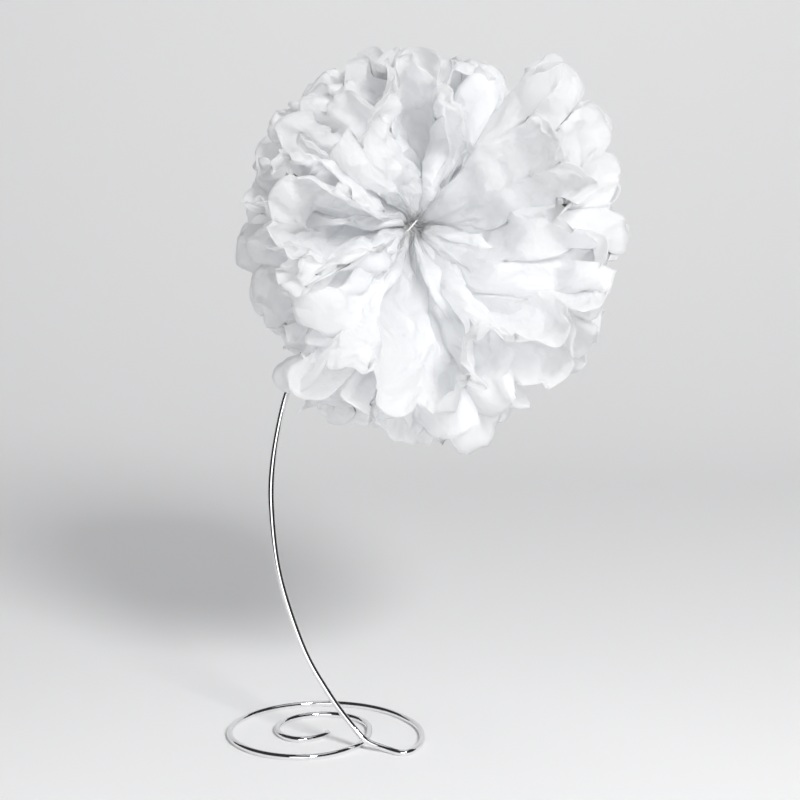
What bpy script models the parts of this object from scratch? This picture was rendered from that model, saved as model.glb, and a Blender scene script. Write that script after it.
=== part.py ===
"""A tissue paper pom pom on a bent wire stand, built as it is made by hand.

Eight sheets of tissue are laid in a stack, pleated together, tied round the waist with
florist's wire and opened sheet by sheet into a ball. The ends of the tie are wound round
the top of a single chromed wire, which bows down to a coil that lies flat on the table.

Units are metres and +Z is up. Run with: blender --background --python part.py
"""

import math

import bmesh
import bpy
from mathutils import Vector

# Stand: one round wire, bent cold
WIRE_RADIUS = 0.0020
WIRE_SIDES = 12
WIRE_STEP = 0.0075  # distance between rings of the tube
CURVE_STEP = 0.002  # between the points that the stem is first drawn with
COIL_STEP = 0.09  # the same for the coil, in radians turned
WIRE_REST = WIRE_RADIUS * math.cos(math.pi / WIRE_SIDES)  # height of the axis over the table
COIL_CENTRE = Vector((-0.050, -0.005))
# The coil is bent clockwise from its inner tip: turned angle in degrees, radius in metres
COIL_BENDS = (
    (78, 0.009),
    (102, 0.018),
    (128, 0.029),
    (180, 0.032),
    (260, 0.0325),
    (345, 0.0295),
    (385, 0.0325),
    (425, 0.0450),
    (462, 0.0610),
    (510, 0.0645),
    (600, 0.0590),
    (680, 0.0573),
    (722, 0.0637),
    (750, 0.0718),
)
# From the outer turn the wire hooks back over the coil, bows away from the ball and rises
# to it. These are the places it passes through, up to where it enters the paper.
STEM_ROUTE = (
    (0.0068, -0.0530, WIRE_REST),
    (0.0006, -0.0553, WIRE_REST),
    (-0.0090, -0.0495, 0.0029),
    (-0.0213, -0.0460, 0.0068),
    (-0.0318, -0.0430, 0.0171),
    (-0.0469, -0.0400, 0.0377),
    (-0.0628, -0.0350, 0.0657),
    (-0.0780, -0.0280, 0.1113),
    (-0.0835, -0.0200, 0.1534),
    (-0.0826, -0.0130, 0.1850),
    (-0.0759, -0.0060, 0.2207),
    (-0.0680, -0.0020, 0.2423),
)
# Inside the ball: distance from the knot, and how far the bow strays from a straight line
STEM_INSIDE = (
    (0.092, 0.0074),
    (0.066, 0.0062),
    (0.044, 0.0030),
    (0.030, 0.0006),
    (0.022, 0.0),
    (0.0105, 0.0),
)

# Ball: the knot at its centre, and its three directions
KNOT = Vector((0.0078, 0.0, 0.3359))
OPENING = Vector((0.0, -1.0, 0.0))  # across the stack of sheets
SEAM = Vector((-0.629, 0.0, -0.777)).normalized()  # the gap between the halves, and the stem
STRIP = SEAM.cross(OPENING).normalized()  # along the pleated strip

# Paper
SHEETS = 8
PLEATS = 12  # panels across a sheet
PLEAT_WIDTH = 0.038
HALF_LENGTHS = {1: 0.118, -1: 0.142}  # the knot is nearer one end: upper half, lower half
SCALLOP_DEPTH = 0.011
PAPER_THICKNESS = 0.0002
FAN_SPAN = (math.radians(-86), math.radians(80))  # wider open where the stem comes in
PANEL_STATIONS = (0.0, 0.25, 0.75)  # places across a panel
RIB_STATIONS = (0.0, 0.45, 1.0)  # places along a rib
STEEPEST_FOLD = 0.94  # height of a fold over the spacing of the folds
CURL = math.radians(6)  # how much further a rib's end opens than its root
# How far each sheet is opened, from back to front, in degrees: upper half, then lower half
UPPER_OPENINGS = (-66, -46, -27, -8, 12, 31, 50, 70)
LOWER_OPENINGS = (-74, -54, -35, -17, 1, 18, 35, 52)

# Waist and tie
WAIST_HALF_LENGTH = (0.0016, 0.0050)  # of a sheet opened fully, and of one left flat
WAIST_HALF_WIDTH = 0.005
STACK_PITCH = 0.0008
GAP = 0.0003  # left between pieces that touch
TIE_RADIUS = 0.0005
TIE_SIDES = 8
TIE_TAIL = ((-0.0013, 0.0125, -0.0042), (-0.0012, 0.0100, -0.0036))  # its loose end
TIE_LOOP = (0.0084, 0.0058)  # half axes of the turn round the waist
TIE_LOOP_START = -26  # degrees round the waist
TIE_LOOP_SWEEP = -308
TIE_LOOP_STEPS = 24
TIE_SKEW = 0.0009  # the turn's two ends pass side by side
TIE_COIL_RADIUS = WIRE_RADIUS + TIE_RADIUS + GAP
TIE_COIL_TURNS = 3
TIE_COIL_STEPS = 36
TIE_COIL_SPAN = (0.0125, 0.0200)  # along the stem, from the knot

WHITE_TISSUE = ((0.93, 0.94, 0.95, 1.0), 0.85, 0.0)
CHROME = ((0.78, 0.79, 0.80, 1.0), 0.08, 1.0)
FLORIST_WIRE = ((0.90, 0.90, 0.89, 1.0), 0.45, 0.0)


def clear_scene():
    for old in list(bpy.data.objects):
        bpy.data.objects.remove(old, do_unlink=True)


def material(name, finish):
    colour, roughness, metallic = finish
    made = bpy.data.materials.new(name)
    made.use_nodes = True
    shader = made.node_tree.nodes["Principled BSDF"]
    shader.inputs["Base Color"].default_value = colour
    shader.inputs["Roughness"].default_value = roughness
    shader.inputs["Metallic"].default_value = metallic
    return made


def in_ball(along, across, up):
    """A point of the ball: along the strip, across it towards the seam, and up the stack."""
    return KNOT + along * STRIP + across * SEAM + up * OPENING


def catmull_rom(points, step):
    """Points about a step apart on the smooth curve through the given ones."""
    points = [Vector(p) for p in points]
    ends = [2 * points[0] - points[1], *points, 2 * points[-1] - points[-2]]
    curve = []
    for a, b, c, d in zip(ends, ends[1:], ends[2:], ends[3:]):
        pieces = max(1, round((c - b).length / step))
        for i in range(pieces):
            t = i / pieces
            curve.append(
                0.5 * (2 * b + (c - a) * t + (2 * a - 5 * b + 4 * c - d) * t**2
                       + (3 * b - 3 * c + d - a) * t**3)
            )
    return [*curve, points[-1]]


def tube(name, points, radius, sides, finish):
    """A round wire with closed ends along the points, with a flat of its outline underneath."""
    curve = bpy.data.curves.new(name, "CURVE")
    curve.dimensions = "3D"
    curve.twist_mode = "Z_UP"
    curve.bevel_depth = radius
    curve.bevel_resolution = (sides - 4) // 2
    curve.use_fill_caps = True
    spline = curve.splines.new("POLY")
    spline.points.add(len(points) - 1)
    for knot, place in zip(spline.points, points):
        knot.co = (*place, 1.0)
        knot.tilt = math.pi / sides
    curve.materials.append(finish)
    made = bpy.data.objects.new(name, curve)
    bpy.context.collection.objects.link(made)
    return made


def coil_route():
    """The flat coil, from its inner tip to where the wire hooks back."""
    bends = catmull_rom([(math.radians(a), r, 0.0) for a, r in COIL_BENDS], COIL_STEP)
    return [
        Vector((
            COIL_CENTRE.x + radius * math.cos(-turned),
            COIL_CENTRE.y + radius * math.sin(-turned),
            WIRE_REST,
        ))
        for turned, radius, _ in bends
    ]


def even_steps(points, step):
    """The same line again, with its points at equal distances."""
    along = [0.0]
    for a, b in zip(points, points[1:]):
        along.append(along[-1] + (b - a).length)
    count = round(along[-1] / step)
    line, at = [], 0
    for i in range(count + 1):
        wanted = along[-1] * i / count
        while at < len(points) - 2 and along[at + 1] < wanted:
            at += 1
        share = (wanted - along[at]) / (along[at + 1] - along[at])
        line.append(points[at].lerp(points[at + 1], share))
    return line


def wire_stand(finish):
    inside = [in_ball(stray, distance, 0.0) for distance, stray in STEM_INSIDE]
    coil = coil_route()
    stem = catmull_rom([coil[-1], *STEM_ROUTE, *inside], CURVE_STEP)
    route = even_steps(coil[:-1] + stem, WIRE_STEP)
    return tube("wire_stand", route, WIRE_RADIUS, WIRE_SIDES, finish)


def tie_wire(finish):
    """Florist's wire: a short tail, one turn round the waist, then a coil round the stem."""
    half_width, half_height = TIE_LOOP
    tail = [in_ball(*place) for place in TIE_TAIL]
    turn = []
    for i in range(TIE_LOOP_STEPS + 1):
        share = i / TIE_LOOP_STEPS
        angle = math.radians(TIE_LOOP_START + TIE_LOOP_SWEEP * share)
        turn.append(in_ball(
            TIE_SKEW * (2 * share - 1),
            half_width * math.cos(angle),
            half_height * math.sin(angle),
        ))
    coil = []
    low, high = TIE_COIL_SPAN
    for i in range(TIE_COIL_STEPS + 1):
        share = i / TIE_COIL_STEPS
        angle = math.tau * TIE_COIL_TURNS * share
        coil.append(in_ball(
            TIE_COIL_RADIUS * math.sin(angle),
            low + (high - low) * share,
            TIE_COIL_RADIUS * math.cos(angle),
        ))
    return tube("tie_wire", tail + turn + coil, TIE_RADIUS, TIE_SIDES, finish)


def rib_point(half, opening, stack, across, along):
    """A point of a sheet: half is 1 or -1, across is counted in panels, along is 0 to 1."""
    panel = min(int(across), PLEATS - 1)
    place = across - panel
    first, last = FAN_SPAN
    turned = first + (last - first) * across / PLEATS
    rise = opening + CURL * along * (1 if opening > 0 else -1)
    notch = SCALLOP_DEPTH * (1 - math.sqrt(max(0.0, 1 - (2 * place - 1) ** 2)))
    reach = (HALF_LENGTHS[half] - notch) * along
    outward = Vector((half * math.cos(turned), math.sin(turned), 0.0))
    direction = outward * math.cos(rise) + Vector((0, 0, math.sin(rise)))
    normal = Vector((0, 0, math.cos(rise))) - outward * math.sin(rise)
    shortest, longest = WAIST_HALF_LENGTH
    root = Vector((
        half * (shortest + (longest - shortest) * math.cos(opening)),
        WAIST_HALF_WIDTH * (2 * across / PLEATS - 1),
        stack,
    ))
    spacing = (2 * WAIST_HALF_WIDTH + (last - first) * reach * math.cos(rise)) / PLEATS
    fold = min(
        math.sqrt(max(0.0, PLEAT_WIDTH**2 - spacing**2)) / 2,
        STEEPEST_FOLD * spacing / 2,
    )
    zigzag = (1 - 2 * place) * (-1) ** panel
    return root + direction * reach + normal * fold * zigzag


def tissue_sheet(number, finish):
    """One pleated sheet, gathered at the waist and opened to both sides."""
    upper = math.radians(UPPER_OPENINGS[number])
    lower = math.radians(LOWER_OPENINGS[number])
    stack = (number - (SHEETS - 1) / 2) * STACK_PITCH
    columns = [p + s for p in range(PLEATS) for s in PANEL_STATIONS] + [float(PLEATS)]
    rows = [(-1, s) for s in reversed(RIB_STATIONS)] + [(1, s) for s in RIB_STATIONS]
    shape = bmesh.new()
    bmesh.ops.create_grid(
        shape, x_segments=len(columns) - 1, y_segments=len(rows) - 1, size=0.5
    )
    for vertex in shape.verts:
        across = columns[round((vertex.co.x + 0.5) * (len(columns) - 1))]
        half, along = rows[round((vertex.co.y + 0.5) * (len(rows) - 1))]
        opening = upper if half > 0 else lower
        vertex.co = in_ball(*rib_point(half, opening, stack, across, along))
    bmesh.ops.recalc_face_normals(shape, faces=shape.faces)
    name = f"tissue_sheet_{number + 1}"
    mesh = bpy.data.meshes.new(name)
    shape.to_mesh(mesh)
    shape.free()
    mesh.materials.append(finish)
    made = bpy.data.objects.new(name, mesh)
    bpy.context.collection.objects.link(made)
    thicken = made.modifiers.new("Thickness", "SOLIDIFY")
    thicken.thickness = PAPER_THICKNESS
    thicken.offset = 0.0
    return made


def centre_over_origin(parts):
    """Moves the parts together, so that the origin is below the middle of their box."""
    bpy.context.view_layer.update()
    graph = bpy.context.evaluated_depsgraph_get()
    low, high = Vector((math.inf,) * 3), Vector((-math.inf,) * 3)
    for part in parts:
        solid = part.evaluated_get(graph)
        for vertex in solid.to_mesh().vertices:
            low = Vector(map(min, low, vertex.co))
            high = Vector(map(max, high, vertex.co))
        solid.to_mesh_clear()
    shift = Vector((-(low.x + high.x) / 2, -(low.y + high.y) / 2, -low.z))
    for part in parts:
        part.location += shift


def main():
    clear_scene()
    tissue = material("white_tissue", WHITE_TISSUE)
    parts = [wire_stand(material("chrome", CHROME))]
    parts.append(tie_wire(material("florist_wire", FLORIST_WIRE)))
    parts += [tissue_sheet(number, tissue) for number in range(SHEETS)]
    centre_over_origin(parts)


main()
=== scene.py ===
"""The looks of a tissue paper pom pom on its wire stand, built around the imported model.

The ball is eight sheets of tissue, pleated together, tied at the waist and opened one by one.
Each sheet here is one fine surface. Along every line round the knot the paper keeps its full
width where it can, so it folds where it is crowded near the tie and spreads out at its edge.
"""

import math

import bmesh
import bpy
import numpy as np
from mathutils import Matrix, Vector


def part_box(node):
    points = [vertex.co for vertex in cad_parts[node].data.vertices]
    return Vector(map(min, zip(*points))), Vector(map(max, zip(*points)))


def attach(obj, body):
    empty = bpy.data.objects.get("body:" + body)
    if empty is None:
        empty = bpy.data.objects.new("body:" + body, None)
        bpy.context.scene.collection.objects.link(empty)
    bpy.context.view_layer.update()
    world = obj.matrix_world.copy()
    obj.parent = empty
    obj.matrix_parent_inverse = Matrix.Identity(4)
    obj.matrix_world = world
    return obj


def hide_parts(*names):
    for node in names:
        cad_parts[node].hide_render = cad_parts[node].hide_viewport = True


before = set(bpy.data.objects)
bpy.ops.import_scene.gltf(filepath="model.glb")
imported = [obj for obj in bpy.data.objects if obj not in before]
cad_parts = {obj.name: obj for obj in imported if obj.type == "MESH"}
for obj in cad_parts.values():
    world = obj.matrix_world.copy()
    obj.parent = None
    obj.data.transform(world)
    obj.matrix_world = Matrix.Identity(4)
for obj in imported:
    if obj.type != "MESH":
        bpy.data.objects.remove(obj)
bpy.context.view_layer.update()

# Stand: one round wire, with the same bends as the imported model's
WIRE_RADIUS = 0.0020
WIRE_SIDES = 32
WIRE_STEP = 0.0025
COIL_CENTRE = Vector((-0.050, -0.005))
# The coil is bent clockwise from its inner tip: turned angle in degrees, radius in metres
COIL_BENDS = (
    (78, 0.009),
    (102, 0.018),
    (128, 0.029),
    (180, 0.032),
    (260, 0.0325),
    (345, 0.0295),
    (385, 0.0325),
    (425, 0.0450),
    (462, 0.0610),
    (510, 0.0645),
    (600, 0.0590),
    (680, 0.0573),
    (722, 0.0637),
    (750, 0.0718),
)
STEM_ROUTE = (
    (0.0068, -0.0530, WIRE_RADIUS),
    (0.0006, -0.0553, WIRE_RADIUS),
    (-0.0090, -0.0495, 0.0029),
    (-0.0213, -0.0460, 0.0068),
    (-0.0318, -0.0430, 0.0171),
    (-0.0469, -0.0400, 0.0377),
    (-0.0628, -0.0350, 0.0657),
    (-0.0780, -0.0280, 0.1113),
    (-0.0835, -0.0200, 0.1534),
    (-0.0826, -0.0130, 0.1850),
    (-0.0759, -0.0060, 0.2207),
    (-0.0680, -0.0020, 0.2423),
)
# Inside the ball: distance from the knot, and how far the bow strays from a straight line
STEM_INSIDE = (
    (0.092, 0.0074),
    (0.066, 0.0062),
    (0.044, 0.0030),
    (0.030, 0.0006),
    (0.022, 0.0),
    (0.0105, 0.0),
)

# Ball: the knot at its centre, before the model is moved over its box, and its directions
KNOT = Vector((0.0078, 0.0, 0.3359))
OPENING = Vector((0.0, -1.0, 0.0))  # across the stack of sheets, towards the front
SEAM = Vector((-0.629, 0.0, -0.777)).normalized()  # between the halves, and along the stem
STRIP = SEAM.cross(OPENING).normalized()  # along the pleated strip

# Tie: a tail, one turn round the waist and three round the stem
TIE_RADIUS = 0.0005
TIE_SIDES = 16
TIE_TAIL = ((-0.0013, 0.0125, -0.0042), (-0.0012, 0.0100, -0.0036))
TIE_LOOP = (0.0084, 0.0058)  # half axes of the turn round the waist
TIE_LOOP_START = -26
TIE_LOOP_SWEEP = -308
TIE_SKEW = 0.0009
TIE_COIL_RADIUS = 0.0028
TIE_COIL_TURNS = 3
TIE_COIL_SPAN = (0.0125, 0.0200)
TIE_STEPS = 72

# Paper
SHEETS = 8
PLEATS = 12
PLEAT_WIDTH = 0.038
SHEET_WIDTH = PLEATS * PLEAT_WIDTH
HALF_LENGTHS = {1: 0.110, -1: 0.138}
PAPER_THICKNESS = 0.00012
ACROSS_STEPS = 216
ALONG_STEPS = {1: 52, -1: 64}
STACK_PITCH = 0.0008

# How each half sheet is opened, from back to front, in degrees: how far it rises off the
# stack at even steps round its fan, and where round the knot the fan starts and ends.
# Then how many pleats make one ruffle and where the first ruffle starts, how much of the
# folding the pleats take near the knot, how crumpled the paper is, and how its ends are cut.
ROUND, ANGULAR = 0.0, 1.0
UPPER = (
    ((-62, -62), -82, 84, 3.4, 0.0, 0.5, 1.2, ANGULAR),
    ((-42, -42), -86, 88, 3.6, 0.1, 0.6, 1.2, ANGULAR),
    ((-24, -24), -86, 91, 3.6, 0.2, 0.6, 1.2, ROUND),
    ((-8, -8), -87, 94, 3.8, 0.3, 0.6, 1.2, ROUND),
    ((8, 5, 6, 9), -88, 96, 3.7, 0.4, 0.5, 1.2, ROUND),
    ((20, 15, 14, 16, 18), -86, 98, 3.6, 0.5, 0.4, 1.2, ROUND),
    ((32, 30, 22, 24, 34, 32), -82, 94, 3.5, 0.6, 0.25, 1.0, ROUND),
    ((42, 40, 38, 38, 44, 52, 52), -78, 66, 3.6, 0.48, 0.12, 0.8, ROUND),
)
LOWER = (
    ((-64, -64), -84, 82, 3.6, 0.0, 0.5, 1.2, ANGULAR),
    ((-46, -46), -86, 82, 3.6, 0.1, 0.6, 1.4, ANGULAR),
    ((-28, -28), -88, 84, 3.8, 0.2, 0.6, 1.4, ANGULAR),
    ((-12, -12), -88, 84, 4.0, 0.3, 0.6, 1.4, ANGULAR),
    ((-2, 2, 4, 4), -88, 84, 4.0, 0.4, 0.5, 1.4, ANGULAR),
    ((2, 8, 16, 18, 16), -90, 86, 4.2, 0.5, 0.4, 1.3, ANGULAR),
    ((6, 20, 30, 30, 26, 22), -92, 92, 4.1, 0.6, 0.25, 1.0, ROUND),
    ((20, 24, 34, 38, 38, 36, 28), -93, 96, 4.2, 0.05, 0.12, 0.8, ROUND),
)


def noise_table(seed):
    return np.random.default_rng(seed).uniform(-1, 1, (64, 64))


def noise(x, y, seed):
    """Smooth values from -1 to 1 over a plane, with hills about one unit wide."""
    table = noise_table(seed)
    x0 = np.floor(x).astype(int)
    y0 = np.floor(y).astype(int)
    fx = x - x0
    fy = y - y0
    fx = fx * fx * fx * (fx * (fx * 6 - 15) + 10)
    fy = fy * fy * fy * (fy * (fy * 6 - 15) + 10)
    low = table[x0 % 64, y0 % 64] * (1 - fx) + table[(x0 + 1) % 64, y0 % 64] * fx
    high = table[x0 % 64, (y0 + 1) % 64] * (1 - fx) + table[(x0 + 1) % 64, (y0 + 1) % 64] * fx
    return low * (1 - fy) + high * fy


def corners(x, seed):
    """Values from -1 to 1 joined by straight lines, a unit apart."""
    table = noise_table(seed)[0]
    x0 = np.floor(x).astype(int)
    return table[x0 % 64] + (table[(x0 + 1) % 64] - table[x0 % 64]) * (x - x0)


def smooth(low, high, value):
    share = np.clip((value - low) / (high - low), 0, 1)
    return share * share * (3 - 2 * share)


def smooth_line(values, share):
    """A smooth curve through evenly spaced values, read at a share of its length."""
    values = np.array(values, float)
    at = share * (len(values) - 1)
    low = np.clip(np.floor(at).astype(int), 0, len(values) - 2)
    part = at - low
    part = part * part * (3 - 2 * part)
    return values[low] * (1 - part) + values[low + 1] * part


def folded_rows(turns, span, width):
    """Where each row of paper runs: a line of the full width, folded into the given span.

    turns holds (pleat, ripple) tangent angles for every row and place across. The pleats are
    made steeper until the row fits its span."""
    pleat, ripple, steepest = turns
    step = width / (pleat.shape[1] - 1)
    low = np.zeros((pleat.shape[0], 1))
    high = np.ones((pleat.shape[0], 1)) * 2.2
    for _ in range(24):
        middle = (low + high) / 2
        angle = np.clip(middle * pleat, -steepest, steepest) + ripple
        middle_angle = (angle[:, 1:] + angle[:, :-1]) / 2
        length = np.cos(middle_angle).sum(1, keepdims=True) * step
        wide = length > span
        low = np.where(wide, middle, low)
        high = np.where(wide, high, middle)
    angle = np.clip(high * pleat, -steepest, steepest) + ripple
    middle_angle = (angle[:, 1:] + angle[:, :-1]) / 2
    x = np.concatenate([np.zeros_like(low), np.cumsum(np.cos(middle_angle) * step, 1)], 1)
    y = np.concatenate([np.zeros_like(low), np.cumsum(np.sin(middle_angle) * step, 1)], 1)
    share = x / x[:, -1:]
    y = y - y[:, -1:] * share
    y = y - y.mean(1, keepdims=True)
    return share, y


def half_sheet(number, half):
    """The places of one half of a sheet, rows from the waist out, in ball directions."""
    rises, first, last, ruffle, start, pleated, _, cut = (UPPER if half > 0 else LOWER)[number]
    first, last = math.radians(first), math.radians(last)
    rows = ALONG_STEPS[half]
    across = np.linspace(0, PLEATS, ACROSS_STEPS + 1)[None, :]
    along = np.linspace(0, 1, rows + 1)[:, None]
    seed = 10 if half > 0 else 40
    drift = number * 0.42  # neighbouring sheets fold almost alike

    panel = np.minimum(np.floor(across), PLEATS - 1)
    place = across - panel
    round_end = 1 - np.sqrt(np.clip(1 - (2 * place - 1) ** 2, 0, 1))
    snipped = np.abs(2 * place - 1 + 0.5 * noise(panel * 0.77, drift + 0 * panel, seed + 8))
    snipped = np.clip(snipped - 0.25, 0, 1) * 1.2
    notch = 0.010 * round_end + cut * (0.016 * snipped - 0.010 * round_end)
    notch = notch + 0.003 * cut
    torn = corners(across * 1.9 + 3 * drift, seed + 9) + 0.5 * corners(across * 4.3, seed + 11 + number)
    notch = notch + (0.0015 + 0.0045 * cut) * torn
    reach = (HALF_LENGTHS[half] * (1 + 0.04 * noise(across * 0.7, drift + 0 * across, seed + 5))
             - notch) * along

    share = across / PLEATS
    opening = np.radians(smooth_line(rises, share))
    rise = opening * (0.90 + 0.12 * along)
    lift = noise(across * 0.45, drift * 1.3 + 0.5 * along, seed + 1)
    rise = rise + math.radians(5) * smooth(0.1, 1, along) * lift
    curl = noise(across * 1.1, drift * 2.7 + 0 * along, seed + 2)
    rise = rise + math.radians(15 + 10 * cut) * curl * smooth(0.70, 1.05, along) ** 1.5

    # Sharp creases near the waist, a few wide ruffles further out
    sharpness = 10.0 - 3.0 * smooth(0.2, 1.0, along)
    pleat = np.tanh(sharpness * np.sin(math.pi * across)) / np.tanh(sharpness)
    pleat = pleat * (1 + 0.5 * noise(across * 0.9, along * 1.5 + drift, seed + 3))
    sway = across + 0.9 * noise(across * 0.5, along * 0.8 + drift * 0.8, seed + 4)
    wide = np.tanh(2.2 * np.sin(math.tau * (sway / ruffle + start)))
    outer = smooth(0.05, 0.75, along)
    share_pleat = pleated * (1 - outer) + 0.34 * outer
    folding = share_pleat * pleat + (1 - share_pleat) * wide
    ripple = math.radians(17) * smooth(0.15, 1, along) * noise(
        across * 1.5, along * 1.8 + drift * 2, seed + 6)
    steepest = math.radians(88) + 0 * along

    ring_rise = np.abs(rise).mean(1, keepdims=True)
    ring = np.clip(0.006 + reach.mean(1, keepdims=True) * np.cos(ring_rise), 0.001, None)
    span = np.minimum(ring * (last - first), 0.97 * SHEET_WIDTH)
    share, height = folded_rows((folding, ripple, steepest), span, SHEET_WIDTH)
    turned = (first + last) / 2 + (share - 0.5) * span / ring

    # Near the tie the folds are pressed flat, flatter on the sheets in front
    pressed = 0.85 - 0.70 * smooth(4, 7, number)
    height = height * (pressed + (1 - pressed) * smooth(0.1, 0.65, along)) * smooth(-0.03, 0.2, along)
    stack = (number - (SHEETS - 1) / 2) * STACK_PITCH
    cos_r, sin_r = np.cos(rise), np.sin(rise)
    out_x, out_y = half * np.cos(turned), np.sin(turned)
    # The sheets close over the tie before they spread
    closed = smooth(0.0, 0.09, along)
    root_x = half * (0.0016 + 0.0034 * np.cos(opening)) * (1 - 0.8 * closed) * np.cos(turned)
    root_y = 0.005 * (2 * across / PLEATS - 1)
    stack = stack + 0.011 * np.sin(opening) * closed
    out = reach * cos_r - height * sin_r
    up = reach * sin_r + height * cos_r
    # The paper isn't stretched: a place stays as far from the knot as it is along the rib
    far = np.sqrt(out**2 + up**2) + 1e-9
    keep = 1 + (np.minimum(reach / far, 1) - 1) * smooth(0.3, 0.9, along)
    x = root_x + out_x * out * keep
    y = root_y + out_y * out * keep
    z = stack + up * keep
    return np.stack([x, y, z], -1)


def facets(x, y, seed):
    """Flat triangles about one unit wide, with random heights at their corners."""
    table = noise_table(seed)
    skew = (x + y) * 0.3660254
    xs, ys = x + skew, y + skew
    i, j = np.floor(xs).astype(int), np.floor(ys).astype(int)
    fx, fy = xs - i, ys - j
    first = table[i % 64, j % 64]
    last = table[(i + 1) % 64, (j + 1) % 64]
    side = np.where(fx > fy, table[(i + 1) % 64, j % 64], table[i % 64, (j + 1) % 64])
    near, far = np.maximum(fx, fy), np.minimum(fx, fy)
    return first * (1 - near) + side * (near - far) + last * far


def crumple(points, amount, number):
    """Pushes the paper out and in along its normal, into creases and dents."""
    du = np.gradient(points, axis=1)
    dv = np.gradient(points, axis=0)
    normal = np.cross(du, dv)
    normal /= np.linalg.norm(normal, axis=-1, keepdims=True) + 1e-12
    rows, columns = points.shape[:2]
    u = np.linspace(0, SHEET_WIDTH, columns)[None, :] * np.ones((rows, 1))
    v = np.linspace(0, sum(HALF_LENGTHS.values()), rows)[:, None] * np.ones((1, columns))
    warp_u = u + 0.006 * noise(u / 0.03, v / 0.03, 101 + number)
    warp_v = v + 0.006 * noise(u / 0.03, v / 0.03, 131 + number)
    strength = 0.9 + 0.5 * noise(u / 0.06, v / 0.06, 161 + number)
    dents = 0.0075 * facets(warp_u / 0.022, warp_v / 0.034, 201 + number)
    dents += 0.0036 * facets(warp_v / 0.014, warp_u / 0.011, 231 + number)
    dents += 0.0013 * facets(warp_u / 0.006, warp_v / 0.0075, 261 + number)
    away = np.abs(np.linspace(-1, 1, rows))[:, None]
    strength = strength * smooth(0.03, 0.3, away) * (1 + 0.5 * smooth(0.6, 1.0, away))
    return points + normal * (dents * strength * amount)[..., None]


def tissue_sheet(number, finish):
    lower = half_sheet(number, -1)
    upper = half_sheet(number, 1)
    points = np.concatenate([lower[::-1], upper], 0)
    amount = (np.linspace(0, 1, len(points)) > len(lower) / len(points))[:, None]
    amount = LOWER[number][-2] + (UPPER[number][-2] - LOWER[number][-2]) * amount
    points = crumple(points, amount, number)
    rows, columns = points.shape[:2]
    axes = np.array([STRIP, SEAM, OPENING])
    world = points @ axes + np.array(knot)

    shape = bmesh.new()
    bmesh.ops.create_grid(shape, x_segments=columns - 1, y_segments=rows - 1, size=0.5, calc_uvs=True)
    name = f"tissue_{number + 1}"
    mesh = bpy.data.meshes.new(name)
    shape.to_mesh(mesh)
    shape.free()
    flat = np.empty(len(mesh.vertices) * 3)
    mesh.vertices.foreach_get("co", flat)
    flat = flat.reshape(-1, 3)
    column = np.rint((flat[:, 0] + 0.5) * (columns - 1)).astype(int)
    row = np.rint((flat[:, 1] + 0.5) * (rows - 1)).astype(int)
    mesh.vertices.foreach_set("co", world[row, column].ravel())
    uv = mesh.uv_layers.new(name="paper") if not mesh.uv_layers else mesh.uv_layers[0]
    corner = np.empty(len(mesh.loops), dtype=int)
    mesh.loops.foreach_get("vertex_index", corner)
    place = np.stack([column[corner] / (columns - 1) * SHEET_WIDTH,
                      row[corner] / (rows - 1) * sum(HALF_LENGTHS.values())], 1)
    uv.data.foreach_set("uv", place.ravel())
    mesh.shade_smooth()
    mesh.materials.append(finish)
    made = bpy.data.objects.new(name, mesh)
    bpy.context.collection.objects.link(made)
    thicken = made.modifiers.new("Thickness", "SOLIDIFY")
    thicken.thickness = PAPER_THICKNESS
    thicken.offset = 0.0
    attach(made, "root")
    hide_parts(f"tissue_sheet_{number + 1}")
    return made


def new_material(name):
    made = bpy.data.materials.new(name)
    made.use_nodes = True
    return made, made.node_tree.nodes, made.node_tree.links


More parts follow.
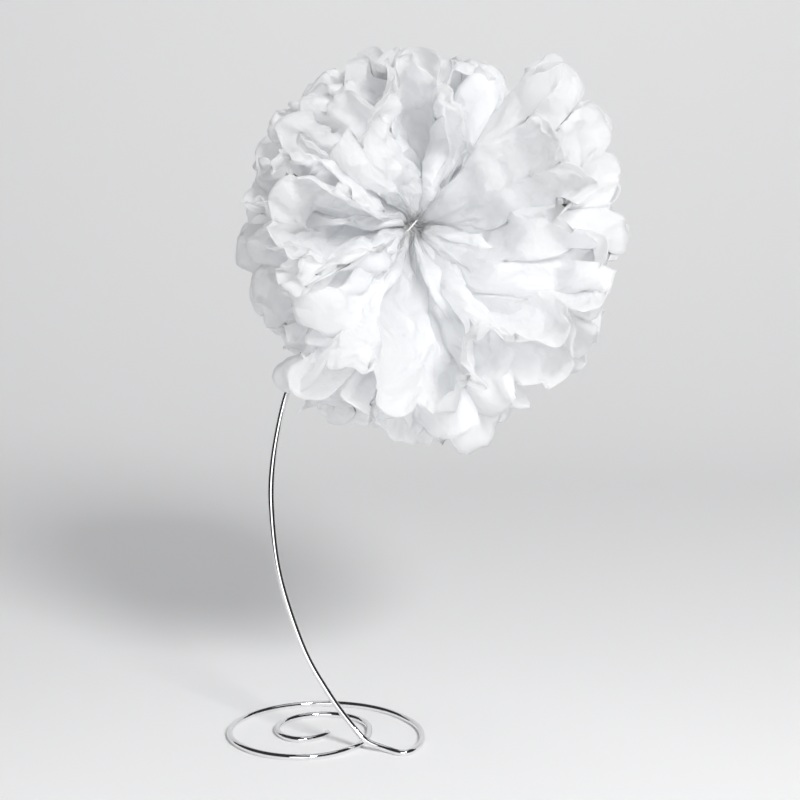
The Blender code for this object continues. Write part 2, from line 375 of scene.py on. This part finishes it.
def crease_group():
    """Straight creases of crumpled paper: pyramids of three sizes, as a height in metres."""
    group = bpy.data.node_groups.new("paper_creases", "ShaderNodeTree")
    group.interface.new_socket("Place", in_out="INPUT", socket_type="NodeSocketVector")
    for name, value in (("Depth", 1.0), ("Wander", 0.006)):
        socket = group.interface.new_socket(name, in_out="INPUT", socket_type="NodeSocketFloat")
        socket.default_value = value
    group.interface.new_socket("Height", in_out="OUTPUT", socket_type="NodeSocketFloat")
    nodes, links = group.nodes, group.links
    given = nodes.new("NodeGroupInput")
    result = nodes.new("NodeGroupOutput")
    drift = nodes.new("ShaderNodeTexNoise")
    drift.inputs["Scale"].default_value = 45
    drift.inputs["Detail"].default_value = 2
    links.new(given.outputs["Place"], drift.inputs["Vector"])
    centred = nodes.new("ShaderNodeVectorMath")
    centred.operation = "SUBTRACT"
    centred.inputs[1].default_value = (0.5, 0.5, 0.5)
    links.new(drift.outputs["Color"], centred.inputs[0])
    moved = nodes.new("ShaderNodeVectorMath")
    moved.operation = "SCALE"
    links.new(centred.outputs[0], moved.inputs[0])
    links.new(given.outputs["Wander"], moved.inputs["Scale"])
    place = nodes.new("ShaderNodeVectorMath")
    place.operation = "ADD"
    links.new(given.outputs["Place"], place.inputs[0])
    links.new(moved.outputs[0], place.inputs[1])
    total = None
    for scale, height, angle in ((42, 0.0050, 20), (98, 0.0020, 65), (230, 0.0008, 110)):
        turn = nodes.new("ShaderNodeVectorRotate")
        turn.rotation_type = "Z_AXIS"
        turn.inputs["Angle"].default_value = math.radians(angle)
        links.new(place.outputs[0], turn.inputs["Vector"])
        cells = nodes.new("ShaderNodeTexVoronoi")
        cells.distance = "MANHATTAN"
        cells.voronoi_dimensions = "2D"
        cells.inputs["Scale"].default_value = scale
        links.new(turn.outputs[0], cells.inputs["Vector"])
        step = nodes.new("ShaderNodeMath")
        step.operation = "MULTIPLY_ADD"
        step.inputs[1].default_value = height
        links.new(cells.outputs["Distance"], step.inputs[0])
        if total is None:
            step.inputs[2].default_value = 0
        else:
            links.new(total.outputs[0], step.inputs[2])
        total = step
    deep = nodes.new("ShaderNodeMath")
    deep.operation = "MULTIPLY"
    links.new(total.outputs[0], deep.inputs[0])
    links.new(given.outputs["Depth"], deep.inputs[1])
    links.new(deep.outputs[0], result.inputs["Height"])
    return group


CREASE_DEPTH = 0.35
LIGHT_THROUGH = 0.8  # share of the light that thin tissue lets through
TISSUE_WHITE = (0.990, 0.992, 0.995, 1)


def tissue_material():
    made, nodes, links = new_material("white_tissue")
    shader = nodes["Principled BSDF"]
    shader.inputs["Base Color"].default_value = TISSUE_WHITE
    shader.inputs["Roughness"].default_value = 0.9
    shader.inputs["Specular IOR Level"].default_value = 0.0
    uv = nodes.new("ShaderNodeUVMap")
    creases = nodes.new("ShaderNodeGroup")
    creases.node_tree = crease_group()
    creases.inputs["Depth"].default_value = CREASE_DEPTH
    creases.inputs["Wander"].default_value = 0.010
    links.new(uv.outputs[0], creases.inputs["Place"])
    bump = nodes.new("ShaderNodeBump")
    bump.inputs["Strength"].default_value = 1.0
    bump.inputs["Distance"].default_value = 1.0
    links.new(creases.outputs[0], bump.inputs["Height"])
    links.new(bump.outputs[0], shader.inputs["Normal"])
    through = nodes.new("ShaderNodeBsdfTranslucent")
    through.inputs["Color"].default_value = TISSUE_WHITE
    links.new(bump.outputs[0], through.inputs["Normal"])
    mix = nodes.new("ShaderNodeMixShader")
    mix.inputs[0].default_value = LIGHT_THROUGH
    links.new(shader.outputs[0], mix.inputs[1])
    links.new(through.outputs[0], mix.inputs[2])
    links.new(mix.outputs[0], nodes["Material Output"].inputs["Surface"])
    return made


def in_ball(along, across, up):
    """A point of the ball: along the strip, across it towards the seam, and up the stack."""
    return KNOT + along * STRIP + across * SEAM + up * OPENING


def catmull_rom(points, step):
    """Points about a step apart on the smooth curve through the given ones."""
    points = [Vector(p) for p in points]
    ends = [2 * points[0] - points[1], *points, 2 * points[-1] - points[-2]]
    curve = []
    for a, b, c, d in zip(ends, ends[1:], ends[2:], ends[3:]):
        pieces = max(1, round((c - b).length / step))
        for i in range(pieces):
            t = i / pieces
            curve.append(
                0.5 * (2 * b + (c - a) * t + (2 * a - 5 * b + 4 * c - d) * t**2
                       + (3 * b - 3 * c + d - a) * t**3)
            )
    return [*curve, points[-1]]


def tube(name, points, radius, sides, finish, node):
    """A round wire with closed ends along the points."""
    curve = bpy.data.curves.new(name, "CURVE")
    curve.dimensions = "3D"
    curve.twist_mode = "Z_UP"
    curve.bevel_depth = radius
    curve.bevel_resolution = (sides - 4) // 2
    curve.use_fill_caps = True
    spline = curve.splines.new("POLY")
    spline.points.add(len(points) - 1)
    for control, place in zip(spline.points, points):
        control.co = (*place, 1.0)
    drawn = bpy.data.objects.new(name, curve)
    bpy.context.collection.objects.link(drawn)
    evaluated = drawn.evaluated_get(bpy.context.evaluated_depsgraph_get())
    mesh = bpy.data.meshes.new_from_object(evaluated)
    bpy.data.objects.remove(drawn)
    mesh.shade_smooth()
    mesh.materials.clear()
    mesh.materials.append(finish)
    made = bpy.data.objects.new(name, mesh)
    bpy.context.collection.objects.link(made)
    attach(made, "root")
    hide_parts(node)
    return made


def stand_route():
    bends = catmull_rom([(math.radians(a), r, 0.0) for a, r in COIL_BENDS], 0.06)
    coil = [
        Vector((
            COIL_CENTRE.x + radius * math.cos(-turned),
            COIL_CENTRE.y + radius * math.sin(-turned),
            WIRE_RADIUS,
        ))
        for turned, radius, _ in bends
    ]
    inside = [in_ball(stray, distance, 0.0) for distance, stray in STEM_INSIDE]
    return coil[:-1] + catmull_rom([coil[-1], *STEM_ROUTE, *inside], WIRE_STEP)


def tie_route():
    half_width, half_height = TIE_LOOP
    route = [in_ball(*place) for place in TIE_TAIL]
    for i in range(TIE_STEPS + 1):
        share = i / TIE_STEPS
        angle = math.radians(TIE_LOOP_START + TIE_LOOP_SWEEP * share)
        skew = TIE_SKEW * (2 * share - 1)
        route.append(in_ball(skew, half_width * math.cos(angle), half_height * math.sin(angle)))
    low, high = TIE_COIL_SPAN
    for i in range(TIE_STEPS + 1):
        share = i / TIE_STEPS
        angle = math.tau * TIE_COIL_TURNS * share
        side, front = TIE_COIL_RADIUS * math.sin(angle), TIE_COIL_RADIUS * math.cos(angle)
        route.append(in_ball(side, low + (high - low) * share, front))
    return route


def chrome_material():
    made, nodes, _ = new_material("chrome")
    shader = nodes["Principled BSDF"]
    shader.inputs["Base Color"].default_value = (0.86, 0.86, 0.87, 1)
    shader.inputs["Metallic"].default_value = 1
    shader.inputs["Roughness"].default_value = 0.05
    return made


def coated_wire_material():
    made, nodes, _ = new_material("florist_wire")
    shader = nodes["Principled BSDF"]
    shader.inputs["Base Color"].default_value = (0.92, 0.92, 0.91, 1)
    shader.inputs["Roughness"].default_value = 0.4
    return made


# The stand and the tie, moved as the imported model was, and then the paper
stand = tube("stand", stand_route(), WIRE_RADIUS, WIRE_SIDES, chrome_material(), "wire_stand")
tie = tube("tie", tie_route(), TIE_RADIUS, TIE_SIDES, coated_wire_material(), "tie_wire")
own_low = Vector([min(v.co[i] for v in stand.data.vertices) for i in range(3)])
shift = Vector(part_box("wire_stand")[0]) - own_low
for piece in (stand, tie):
    for vertex in piece.data.vertices:
        vertex.co += shift
knot = KNOT + shift

tissue = tissue_material()
for number in range(SHEETS):
    tissue_sheet(number, tissue)

# Stage
SWEEP_LENGTH = 5.0
SWEEP_HALF_WIDTH = 2.5
SWEEP_FRONT = -1.6  # where the floor starts, in front of the object
FLOOR_LENGTH = 2.6
BEND_RADIUS = 0.9
shape = bmesh.new()
bmesh.ops.create_grid(shape, x_segments=1, y_segments=60, size=1.0)
for vertex in shape.verts:
    t = (vertex.co.y + 1) / 2 * SWEEP_LENGTH
    back = FLOOR_LENGTH + SWEEP_FRONT
    if t < FLOOR_LENGTH:
        place = (t + SWEEP_FRONT, 0.0)
    elif t < FLOOR_LENGTH + BEND_RADIUS * math.pi / 2:
        a = (t - FLOOR_LENGTH) / BEND_RADIUS
        place = (back + BEND_RADIUS * math.sin(a), BEND_RADIUS * (1 - math.cos(a)))
    else:
        above = t - FLOOR_LENGTH - BEND_RADIUS * math.pi / 2
        place = (back + BEND_RADIUS, BEND_RADIUS + above)
    vertex.co = Vector((vertex.co.x * SWEEP_HALF_WIDTH, place[0], place[1]))
mesh = bpy.data.meshes.new("backdrop")
shape.to_mesh(mesh)
shape.free()
mesh.shade_smooth()
backdrop = bpy.data.objects.new("backdrop", mesh)
bpy.context.collection.objects.link(backdrop)
paper, nodes, _ = new_material("backdrop")
nodes["Principled BSDF"].inputs["Base Color"].default_value = (0.93, 0.93, 0.932, 1)
nodes["Principled BSDF"].inputs["Roughness"].default_value = 0.9
mesh.materials.append(paper)

# Room: a bright white dome lights the paper, and glossy metal sees a dark studio round it
world = bpy.data.worlds.new("studio")
bpy.context.scene.world = world
world.use_nodes = True
nodes, links = world.node_tree.nodes, world.node_tree.links
dome = nodes["Background"]
dome.inputs[0].default_value = (0.97, 0.98, 1.0, 1)
dome.inputs[1].default_value = 0.30
dark = nodes.new("ShaderNodeBackground")
direction = nodes.new("ShaderNodeTexCoord")
parts = nodes.new("ShaderNodeSeparateXYZ")
links.new(direction.outputs["Generated"], parts.inputs[0])
beside = nodes.new("ShaderNodeMath")
beside.operation = "ABSOLUTE"
links.new(parts.outputs["X"], beside.inputs[0])
panel = None
for source, full, none in (
    (beside.outputs[0], 0.26, 0.32), (parts.outputs["Y"], -0.6, -0.4), (parts.outputs["Z"], 0.30, 0.42)
):
    edge = nodes.new("ShaderNodeMapRange")
    edge.inputs["From Min"].default_value = full
    edge.inputs["From Max"].default_value = none
    edge.inputs["To Min"].default_value = 1.0
    edge.inputs["To Max"].default_value = 0.0
    links.new(source, edge.inputs["Value"])
    if panel is not None:
        both = nodes.new("ShaderNodeMath")
        both.operation = "MULTIPLY"
        links.new(edge.outputs[0], both.inputs[0])
        links.new(panel.outputs[0], both.inputs[1])
        edge = both
    panel = edge
tone = nodes.new("ShaderNodeMapRange")
tone.inputs["To Min"].default_value = 0.03
tone.inputs["To Max"].default_value = 1.3
links.new(panel.outputs[0], tone.inputs["Value"])
links.new(tone.outputs[0], dark.inputs["Strength"])
path = nodes.new("ShaderNodeLightPath")
choose = nodes.new("ShaderNodeMixShader")
links.new(path.outputs["Is Glossy Ray"], choose.inputs[0])
links.new(dome.outputs[0], choose.inputs[1])
links.new(dark.outputs[0], choose.inputs[2])
links.new(choose.outputs[0], nodes["World Output"].inputs["Surface"])


def area_light(name, place, target, size, power, colour=(1, 1, 1)):
    data = bpy.data.lights.new(name, "AREA")
    data.shape = "DISK"
    data.size = size
    data.energy = power
    data.color = colour
    made = bpy.data.objects.new(name, data)
    made.location = place
    made.rotation_euler = (Vector(target) - Vector(place)).to_track_quat("-Z", "Y").to_euler()
    bpy.context.collection.objects.link(made)
    return made


area_light("key", (0.75, -1.75, 1.30), (0.0, 0.0, 0.25), 0.55, 42)
area_light("fill", (-0.25, -2.1, 0.50), (0.0, 0.0, 0.30), 1.3, 8)
area_light("backdrop_wash", (0.15, 0.75, 2.30), (0.1, 1.85, 0.70), 0.8, 3.0)

camera_data = bpy.data.cameras.new("camera")
camera_data.lens = 80
camera_data.sensor_width = 36
camera = bpy.data.objects.new("camera", camera_data)
camera.location = Vector((0.0, -1.158, 0.365)) + shift
camera.rotation_euler = (math.radians(90 - 7), 0, 0)
bpy.context.collection.objects.link(camera)
bpy.context.scene.camera = camera
bpy.context.scene.view_settings.view_transform = "Standard"
bpy.context.scene.view_settings.gamma = 1.15
# Light reaches the folds through many layers of thin paper
BOUNCES = 80
bpy.context.scene.cycles.max_bounces = BOUNCES
bpy.context.scene.cycles.diffuse_bounces = BOUNCES
bpy.context.scene.cycles.transmission_bounces = BOUNCES
